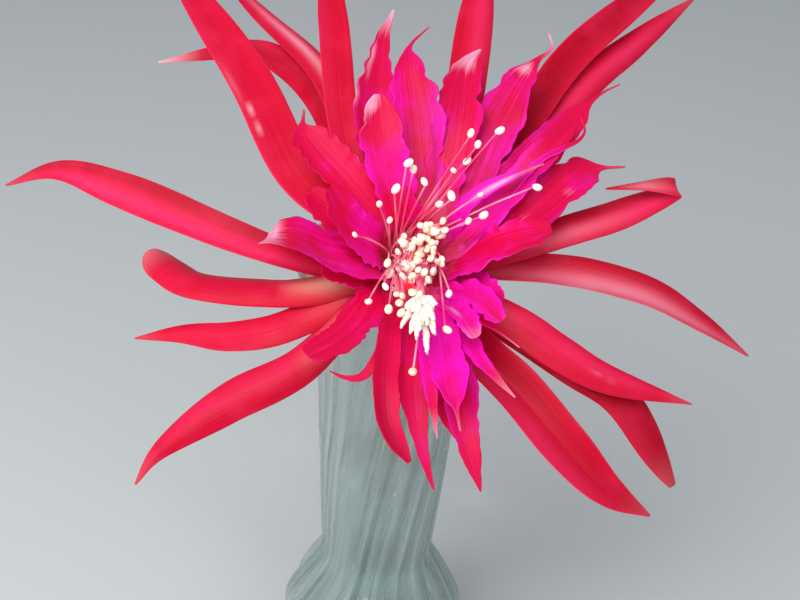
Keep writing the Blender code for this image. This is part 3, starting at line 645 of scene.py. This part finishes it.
def petal(name, kind, width, points, magenta=0.5, fade=0.95, painted_shade=0, pale=0.3, pale_side=0, specks_and_highlights=(),
          step=0, **shape):
    """A petal: its magenta and where that ends, its painted shade, its pale tip, and its specks and painted
    highlights.
    """
    def tip_shade(along, half):
        return pale * ((along - 0.84) / 0.14 + 1.4 * half * pale_side - 0.7 * abs(pale_side))

    marks = {
        "magenta": lambda along, half: magenta * (0.5 + 0.8 * half ** 2) * min(1, (fade - along) / 0.3),
        "pale": lambda along, half: max(tip_shade(along, half), 0) + specks_and_highlights_at(along, half, specks_and_highlights),
        # Painted light: the petal roots are painted a brighter rose in the throat's shade.
        "throat_painted_light": lambda along, half: 1.6 - 5 * along,
        # Painted shade along one side of the petal.
        "painted_shade": lambda along, half: painted_shade * spot(half, 0.5, 0.9),
    }
    roots = [(radius - step, height) for radius, height in INNER_ROOTS]
    usual = {"rows": 56, "columns": 6, "ruffle": 1.6, "teeth": 0.5, "arch": 0.1,
             "thickness": PETAL_THICKNESS}
    shape = {**usual, **shape}
    return blade(name, kind, width, points, marks, roots=roots, **shape)


petals = joined([
    ring("petal_collar", *COLLAR),
    petal("upper_one", "tailed", 16.5, ((-5, 13, 9), (-13.4, 38, 16), (-15, 55, 17), (-15, 71, 16),
          (-12, 85.4, 14)), magenta=0.3, pale=1, arch=0.14, fold=0.05,
          specks_and_highlights=((0.78, -0.6, 0.05, 0.2, 0.9), (0.7, -0.8, 0.04, 0.16, 0.8),
          (0.6, -0.9, 0.04, 0.16, 0.8))),
    petal("upper_two", "thread", 17, ((1, 16, 11), (-1.2, 38, 19), (-5.4, 58, 23), (-5.8, 66.6, 22),
          (0, 75.4, 21)), magenta=0.5, teeth=0.6),
    petal("upper_three", "petal", 16, ((7, 17, 12), (10.4, 39, 20), (12.6, 60, 20), (17, 70, 18)),
          magenta=0.3, pale=1, pale_side=-0.5, step=0.7, specks_and_highlights=((0.9, 0, 0.05, 0.4, 0.8),)),
    petal("upper_four", "thread", 17.5, ((12.5, 14.5, 12), (23.4, 44.3, 18), (32.6, 63.2, 20),
          (39.4, 71.6, 19), (38.4, 78, 18)), magenta=0.45, pale=0.9,
          specks_and_highlights=((0.8, -0.3, 0.03, 0.5, 0.9),)),
    petal("right_one", "thread", 14.4, ((17, 11, 12), (35.8, 33, 16), (53.2, 55.4, 16), (62.4, 63.6, 14)),
          magenta=0.25, arch=0.08),
    petal("right_two", "blunt", 10.5, ((17, 6, 14), (30, 21, 22), (38.4, 32, 25), (45.6, 42, 24)),
          magenta=0.8, pale=0, rolls=(0, 20), step=1.4),
    petal("right_three", "ragged", 15.4, ((19, 3, 11), (34, 12.6, 17), (46.8, 25, 19), (53.4, 29.8, 18),
          (63.6, 32, 17)), magenta=0.25, pale=0.3, specks_and_highlights=((0.5, 0.1, 0.02, 0.1, 0.5),
          (0.7, 0.4, 0.03, 0.1, 0.6))),
    # A narrow petal put where a lit streak shows, carrying a painted highlight.
    petal("lit_streak", "lance", 6, ((12, 9, 14), (16, 14, 22), (26, 19, 28), (37, 24.5, 29)),
          magenta=2.2, pale=0.5, specks_and_highlights=((0.72, 0.2, 0.16, 0.4, 1),), ruffle=0.6),
    petal("right_four", "blunt", 19, ((17, -2, 14), (28, 0, 24), (40, 3, 28)), magenta=0.5, pale=0,
          rolls=(0, -20)),
    petal("left_one", "ragged", 16, ((-9, 8, 12), (-21, 18, 20), (-35, 31, 24), (-37, 41, 22)), magenta=0,
          teeth=0.7),
    petal("left_two", "curled", 15.5, ((-4, 11, 14), (-11, 27, 27), (-14, 43, 31)), magenta=0.45,
          pale=0.7, pale_side=-0.7, specks_and_highlights=((0.93, -0.5, 0.03, 0.3, 0.5),)),
    petal("left_three", "blunt", 18, ((-11, 0, 12), (-20, 2, 24), (-26, 10, 31)), magenta=0.5, pale=0),
    petal("left_four", "curled", 22, ((-11, -6, 12), (-25, -7.4, 22), (-34, -6, 28), (-41, -6, 29),
          (-43.5, -6, 26.5)), magenta=0.5, pale=0.7, specks_and_highlights=((0.93, 0.2, 0.02, 0.6, 0.5),),
          rolls=(0, 14)),
    petal("low_one", "blunt", 12, ((-10, -17, 14), (-18, -32.4, 24), (-28, -42, 30)), magenta=0.2,
          pale=0.1),
    petal("low_two", "curled", 8, ((-4.6, -22, 16), (-5.4, -42, 24), (-3.6, -57.6, 24), (3, -67.6, 20)),
          magenta=0, painted_shade=0.9, pale=0, arch=0.14),
    petal("low_thread", "flared", 4.6, ((-6, -24, 14), (-7.6, -36, 19), (-12, -43, 19), (-17, -43.8, 19),
          (-21.8, -41.8, 18)), magenta=0, pale=0.1, ruffle=0.3),
    petal("low_three", "tailed", 12.5, ((2, -23, 15), (2.4, -44, 20), (5.6, -61, 19), (10.4, -73.4, 14)),
          magenta=0.4, fade=0.75, pale=0, step=0.7),
    petal("low_four", "lance", 7.4, ((5, -25, 17), (7, -44, 25), (10, -62, 27)), magenta=1.2, pale=0.6,
          ruffle=0.6),
    petal("low_five", "ragged", 11.5, ((8, -21, 16), (12, -40, 26), (16, -61, 32)), magenta=1.6, pale=0.4,
          arch=0.16),
    petal("low_six", "late", 11.6, ((8, -16, 12), (12.6, -28, 16), (18.6, -57, 17), (23.8, -72.4, 12)),
          magenta=0.5, pale=0, step=0.7),
    petal("low_fill", "petal", 13, ((7, -20, 12), (10.4, -40, 15), (16, -58.4, 15)), magenta=0.7,
          pale=0.2, step=1.4),
    petal("low_seven", "lance", 8, ((13, -21, 16), (21, -38, 26), (31, -49, 28)), magenta=1.5, pale=0.6,
          ruffle=0.8),
    petal("side_one", "thread", 7, ((13, -13, 14), (23, -26, 24), (32, -33, 25)), magenta=0.6, pale=0.6),
    petal("side_two", "blunt", 9, ((15, -12, 14), (21, -20, 26), (26, -28, 32)), magenta=0.7, fade=1.5,
          pale=0.1, arch=0.14, ruffle=2.4),
    petal("side_three", "blunt", 8, ((12, -18, 17), (16, -26, 27), (19, -34, 33)), magenta=1.1, fade=1.2,
          pale=0.4, specks_and_highlights=((0.62, 0.3, 0.14, 0.16, 0.9),), arch=0.2, ruffle=2.6),
    petal("curled_thread", "lance", 4, ((17, 4, 13), (33.3, 24.7, 24), (42, 31, 26), (47.4, 34.8, 26),
          (49.6, 39.4, 25), (48.4, 43.8, 24)), magenta=1.2, pale=0.2, ruffle=0.4),
    petal("left_fill", "blunt", 14, ((-12, 4, 9), (-24, 9, 14), (-33, 15, 17)), magenta=0.3, pale=0,
          step=1.4),
    petal("left_under", "blunt", 13, ((-11.5, -9, 9), (-19, -10.2, 14), (-27, -10, 17)), magenta=0.4,
          pale=0, step=1.4),
    petal("right_fill", "blunt", 11, ((15, -8, 9), (21, -12, 15), (26.4, -17.4, 19)), magenta=0.6,
          fade=1.5, pale=0, step=1.4, ruffle=2.4),
], "magenta_petals")

petal_flesh, tree, shader = new_finish(
    "magenta_flesh", Roughness=0.45, Specular_IOR_Level=0.12, Subsurface_Weight=0.35,
    Subsurface_Scale=0.002, Subsurface_Radius=(1, 0.2, 0.5), Sheen_Weight=0.03, Sheen_Roughness=0.4,
    Sheen_Tint=(1, 0.45, 0.8, 1))
pattern = node(tree, "ShaderNodeGroup", node_tree=flesh).outputs
# Painted shade darkens one side of some petals, besides the veins.
dark = maths(tree, "ADD", ramp(tree, pattern["Veins"], (0.42, 0.5), (0.56, 0)), mark(tree, "painted_shade"))
tint = mixed(tree, dark, PETAL_CRIMSON, PETAL_DEEP)
flecked = maths(tree, "ADD", mark(tree, "magenta"), -0.65)
flecked = maths(tree, "MULTIPLY_ADD", pattern["Mottle"], 1.3, flecked)
flecked = maths(tree, "ADD", flecked, -0.3)
flecked = maths(tree, "MULTIPLY_ADD", pattern["Veins"], 0.6, flecked)
tint = mixed(tree, ramp(tree, flecked, (0.15, 0), (0.85, 1)), tint, MAGENTA)
# Painted light brightens the petal roots and the collar in the throat.
tint = mixed(tree, maths(tree, "MULTIPLY", mark(tree, "throat_painted_light"), 0.85), tint, THROAT_PAINTED_ROSE)
wavering = maths(tree, "ADD", mark(tree, "pale"), -0.4)
wavering = maths(tree, "MULTIPLY_ADD", pattern["Veins"], 0.8, wavering)
tint = mixed(tree, ramp(tree, wavering, (0.15, 0), (1, 1)), tint, PALE_TIP)
tree.links.new(tint, shader.inputs["Base Color"])
rough = node(tree, "ShaderNodeMapRange", {"Value": pattern["Mottle"], "To Min": 0.34, "To Max": 0.5})
tree.links.new(rough.outputs[0], shader.inputs["Roughness"])
bump = node(tree, "ShaderNodeBump", {"Strength": 0.3, "Distance": 0.0003, "Height": pattern["Height"]})
tree.links.new(bump.outputs[0], shader.inputs["Normal"])
dressed(petals, petal_flesh, "petal_magenta", "inner_petals")

# The stamens are pink filaments with a cream anther on each, and rise from a ring in the cup
# and from its floor. The spread ones stand where the photograph shows them, and the rest
# crowd in the throat.
SPREAD_ANTHERS = ((-17, -5, 32), (-11, 4, 34), (-8, 1, 30), (-7, 8, 36), (-4, 16, 38), (-2, 16, 34),
                  (2, 12, 34), (14, 28, 36), (22, 30, 36), (16, 23, 39), (13, 20, 34), (10, 18, 32),
                  (6, 8, 30), (10, 9, 32), (18, 11, 32), (34, 15, 32), (15, 4, 27), (19, 5, 30),
                  (-8, -17, 26), (-12, -25, 32), (-6, -26, 31), (11, -19, 29), (2, -46, 36), (10, -33, 36))
CLUSTERED_ANTHERS = ((1, -11, 30), (2, -13, 30), (3, -15, 31), (5, -17, 31), (0, -15, 30), (6, -14, 30),
                     (-4, -22, 32), (-2, -23, 32), (0, -21, 32), (2, -22, 32), (-3, -25, 33), (-2, -28, 34))
BUNCHES = (((5, 3.4), 3.8, (17, 25), 18), ((-1.2, -2.4), 4.4, (14, 24), 17),
           ((3.6, -1.4), 2.6, (18, 26), 6), ((7, -6), 2.4, (18, 25), 5),
           ((1, -10.5), 3.4, (15, 26), 12), ((-3.4, -6.6), 4.4, (6, 16), 10))
STYLE_CLEARANCE = math.radians(30)
STAMEN_RING = (-22, -17)
STAMEN_ROOT_RADIUS, STAMEN_ROOT_HEIGHT = 6.2, -19.5
FLOOR_ROOT_RADII = (2.2, 4.6)
INNER_BELOW = 27
FILAMENT_NECK, FILAMENT_ARCH = 4, 3
NECK_SPREADS = (0.9, 1.35)
FILAMENT_RADII = (0.42, 0.28)
ANTHER_LENGTH, ANTHER_WIDTH = 3.0, 2.1
ANTHER_SIZES = (0.85, 1.15)
GOLDEN_TURN = math.pi * (3 - math.sqrt(5))
FILAMENT_PINK = (0.95, 0.07, 0.22, 1)
FILAMENT_PALE = (0.98, 0.4, 0.55, 1)
ANTHER_CREAM = (0.98, 0.8, 0.56, 1)
POLLEN = (1, 0.92, 0.78, 1)

draw = random.Random(7)
anther_places = [*SPREAD_ANTHERS, *CLUSTERED_ANTHERS]
for centre, radius, heights, count in BUNCHES:
    for i in range(count):
        turn = i * GOLDEN_TURN
        reach = radius * math.sqrt((i + 0.5) / count)
        anther_places.append((centre[0] + reach * math.cos(turn), centre[1] + reach * math.sin(turn),
                              draw.uniform(*heights)))
anther_places.sort(key=lambda place: math.atan2(place[0], -place[1]) % (2 * math.pi))
filaments = []
anthers = []
for i, place in enumerate(anther_places):
    share = (i + 0.5) / len(anther_places)
    turn = STYLE_CLEARANCE + (2 * math.pi - 2 * STYLE_CLEARANCE) * share - math.pi / 2
    inner = i % 2 and place[2] < INNER_BELOW
    radius = draw.uniform(*FLOOR_ROOT_RADII) if inner else STAMEN_ROOT_RADIUS
    height = CUP_FLOOR if inner else STAMEN_ROOT_HEIGHT
    root = Vector((radius * math.cos(turn), radius * math.sin(turn), height))
    end = Vector(place)
    spread = draw.uniform(*NECK_SPREADS)
    neck = Vector((root.x * spread, root.y * spread, FILAMENT_NECK))
    arch = neck.lerp(end, 0.5) + Vector((0, 0, FILAMENT_ARCH))
    line = smooth_line((root, neck, arch, end), 16)
    radii = [np.interp(k, (0, 16), FILAMENT_RADII) * MM for k in range(17)]
    filaments.append(rod(f"filament_{i}", [BLOOM @ (point * MM) for point in line], radii, 1))
    tilt = Vector((draw.uniform(-1, 1), draw.uniform(-1, 1), draw.uniform(-1, 1))) * 0.8
    axis = ((line[-1] - line[-2]).normalized() + tilt).normalized()
    bpy.ops.object.select_all(action="DESELECT")
    bpy.ops.mesh.primitive_uv_sphere_add(segments=12, ring_count=10, radius=0.5)
    anther = bpy.context.object
    anther.name = f"anther_{i}"
    size = draw.uniform(*ANTHER_SIZES)
    stand = axis.to_track_quat("Z", "Y").to_matrix()
    for vertex in anther.data.vertices:
        x, y, z = vertex.co
        groove = 1 - 0.3 * math.exp(-(x / 0.14) ** 2) * (y > 0)
        bean = Vector((x * ANTHER_WIDTH, y * groove * ANTHER_WIDTH * 0.8 + 0.9 * z * z, z * ANTHER_LENGTH))
        vertex.co = BLOOM @ ((line[-1] + axis * 0.3 * ANTHER_LENGTH + stand @ (bean * size)) * MM)
    anthers.append(anther)
filaments = joined([ring("stamen_ring", *STAMEN_RING), *filaments], "stamen_filaments")
anthers = joined(anthers, "stamen_anthers")

filament_skin, tree, shader = new_finish("filament_pink", Roughness=0.4, Subsurface_Weight=0.3,
                                         Subsurface_Scale=0.001, Subsurface_Radius=(1, 0.4, 0.5))
place = node(tree, "ShaderNodeTexCoord").outputs["Object"]
shade = node(tree, "ShaderNodeTexNoise", {"Vector": place, "Scale": 70, "Detail": 2}).outputs[0]
tint = mixed(tree, ramp(tree, shade, (0.4, 0), (0.65, 1)), FILAMENT_PINK, FILAMENT_PALE)
tree.links.new(tint, shader.inputs["Base Color"])
dressed(filaments, filament_skin, "stamen_cream", "stamens")
anther_skin, tree, shader = new_finish("anther_cream", Roughness=0.75, Subsurface_Weight=0.2,
                                       Subsurface_Scale=0.001, Subsurface_Radius=(1, 0.7, 0.5))
place = node(tree, "ShaderNodeTexCoord").outputs["Object"]
grains = node(tree, "ShaderNodeTexVoronoi", {"Vector": place, "Scale": 2600}).outputs[0]
shade = node(tree, "ShaderNodeTexNoise", {"Vector": place, "Scale": 300, "Detail": 3}).outputs[0]
tint = mixed(tree, ramp(tree, shade, (0.35, 0), (0.6, 1)), ANTHER_CREAM, POLLEN)
tree.links.new(tint, shader.inputs["Base Color"])
bump = node(tree, "ShaderNodeBump", {"Strength": 0.5, "Distance": 0.0002, "Height": grains})
tree.links.new(bump.outputs[0], shader.inputs["Normal"])
dressed(anthers, anther_skin, "stamen_cream", "stamens")

# The style is one pink stalk that leans out over the lower petals and opens at its end into
# the stigma, a tuft of cream lobes that are softly furred and ragged.
STYLE_ROUTE = ((0, 0, -29.6), (0, -1, -12), (0.5, -3, 4), (2, -10, 18), (3, -22, 30))
STYLE_RADIUS = 1.1
STIGMA_TIPS = ((5.6, -41, 36), (-1.6, -32, 36), (0.4, -36.4, 38), (3, -36, 41), (7, -32, 36),
               (7.4, -36, 38), (-1.6, -28, 36), (6.6, -28.4, 38), (2, -31, 40), (5, -34, 40),
               (4.6, -29, 39), (0.4, -30, 39))
LOBE_RADIUS = 0.95
LOBE_ARCH = 2
LOBE_PLACES, LOBE_SHARES = (0, 3, 7, 11, 13, 14), (0.4, 0.6, 1, 0.95, 0.75, 0.3)
TWIN_SPREAD = 1.9
FUR = 0.55
STYLE_PINK = (0.9, 0.12, 0.3, 1)
STYLE_CREAM = (0.96, 0.6, 0.58, 1)
STIGMA_CREAM = (0.98, 0.82, 0.62, 1)
STIGMA_PALE = (1, 0.93, 0.82, 1)

style_line = smooth_line(STYLE_ROUTE, 30)
style = rod("style_stalk", [BLOOM @ (point * MM) for point in style_line], [STYLE_RADIUS * MM] * 31, 4)
heart, back = style_line[-1], style_line[-3]
lobes = []
twins = [[place + draw.uniform(-TWIN_SPREAD, TWIN_SPREAD) for place in tip] for tip in STIGMA_TIPS[1:]]
for i, tip in enumerate((*STIGMA_TIPS, *twins)):
    middle = heart.lerp(Vector(tip), 0.5) + Vector((0, 0, LOBE_ARCH))
    line = smooth_line((back, heart, middle, tip), 14)
    shares = np.interp(range(15), LOBE_PLACES, LOBE_SHARES)
    radii = [LOBE_RADIUS * share * MM for share in shares]
    lobes.append(rod(f"stigma_lobe_{i}", [BLOOM @ (point * MM) for point in line], radii, 4))
lobes = joined(lobes, "stigma_lobes")
worked(lobes, "SUBSURF", levels=1, render_levels=1)
for vertex in lobes.data.vertices:
    vertex.co += vertex.normal * (FUR * MM * noise.noise(vertex.co * 900))
style_skin, tree, shader = new_finish("style_pink", Roughness=0.4, Subsurface_Weight=0.3,
                                      Subsurface_Scale=0.001, Subsurface_Radius=(1, 0.4, 0.5))
place = node(tree, "ShaderNodeTexCoord").outputs["Object"]
shade = node(tree, "ShaderNodeTexNoise", {"Vector": place, "Scale": 90, "Detail": 2}).outputs[0]
tint = mixed(tree, ramp(tree, shade, (0.4, 0), (0.6, 1)), STYLE_PINK, STYLE_CREAM)
tree.links.new(tint, shader.inputs["Base Color"])
dressed(style, style_skin, "stigma_cream", "style")
stigma_skin, tree, shader = new_finish(
    "stigma_cream", Roughness=0.7, Subsurface_Weight=0.25, Sheen_Weight=0.2, Subsurface_Scale=0.001,
    Subsurface_Radius=(1, 0.7, 0.5))
place = node(tree, "ShaderNodeTexCoord").outputs["Object"]
fur = node(tree, "ShaderNodeTexVoronoi", {"Vector": place, "Scale": 1900}).outputs[0]
tint = mixed(tree, ramp(tree, fur, (0.1, 0), (0.6, 1)), STIGMA_CREAM, STIGMA_PALE)
tree.links.new(tint, shader.inputs["Base Color"])
bump = node(tree, "ShaderNodeBump", {"Strength": 0.6, "Distance": 0.0003, "Height": fur})
tree.links.new(bump.outputs[0], shader.inputs["Normal"])
dressed(lobes, stigma_skin, "stigma_cream", "style")

# The studio is a plain pale floor, with a broad soft light high on the left, a weaker one on
# the right and a low one for the glass. A narrow one looks into the throat and a faint one
# stands in the cup, as the photograph's daylight shines through the flower's thin walls there.
FLOOR_SIZE = 6
FLOOR_GREY = (0.62, 0.65, 0.66, 1)
THROAT_LIGHT_DISTANCE, THROAT_LIGHT_POWER = 0.9, 10
THROAT_LIGHT_WIDTH = math.radians(5.5)
CUP_LIGHT_HEIGHT, CUP_LIGHT_POWER = -8, 0.013
CUP_LIGHT_ROSE = (1, 0.7, 0.66)
SKY_COLOUR, SKY_STRENGTH = (0.85, 0.9, 0.95, 1), 0.45
bpy.ops.object.select_all(action="DESELECT")
bpy.ops.mesh.primitive_plane_add(size=FLOOR_SIZE)
floor = bpy.context.object
floor.name = "pale_floor"
floor_finish, tree, shader = new_finish("pale_floor", Roughness=0.9, Base_Color=FLOOR_GREY)
floor.data.materials.append(floor_finish)


def soft_light(name, place, size, power, colour):
    """A square soft light that faces the bloom."""
    bpy.ops.object.light_add(type="AREA", location=place)
    light = bpy.context.object
    light.name = name
    light.data.size = size
    light.data.energy = power
    light.data.color = colour
    light.rotation_euler = (THROAT - Vector(place)).to_track_quat("-Z", "Y").to_euler()


soft_light("window_light", (-0.34, -0.62, 1), 0.7, 8.7, (1, 0.98, 0.95))
soft_light("fill_light", (0.5, -0.9, 0.75), 0.8, 2.4, (0.95, 0.98, 1))
soft_light("low_light", (-0.6, -0.45, 0.3), 0.35, 1.9, (1, 0.99, 0.97))
bpy.ops.object.light_add(type="SPOT", location=THROAT + bloom_axis * THROAT_LIGHT_DISTANCE)
throat_light = bpy.context.object
throat_light.name = "throat_light"
throat_light.data.energy = THROAT_LIGHT_POWER
throat_light.data.spot_size = THROAT_LIGHT_WIDTH
throat_light.data.spot_blend = 1
throat_light.data.shadow_soft_size = 0.02
throat_light.rotation_euler = bloom_axis.to_track_quat("Z", "Y").to_euler()
bpy.ops.object.light_add(type="POINT", location=on_axis(CUP_LIGHT_HEIGHT) * MM)
cup_light = bpy.context.object
cup_light.name = "cup_light"
cup_light.data.energy = CUP_LIGHT_POWER
cup_light.data.color = CUP_LIGHT_ROSE
cup_light.data.shadow_soft_size = 0.004
cup_light.visible_camera = False
world = bpy.data.worlds.new("studio")
bpy.context.scene.world = world
world.use_nodes = True
sky = world.node_tree.nodes["Background"].inputs
sky["Color"].default_value = SKY_COLOUR
sky["Strength"].default_value = SKY_STRENGTH
bpy.context.scene.view_settings.view_transform = "Standard"
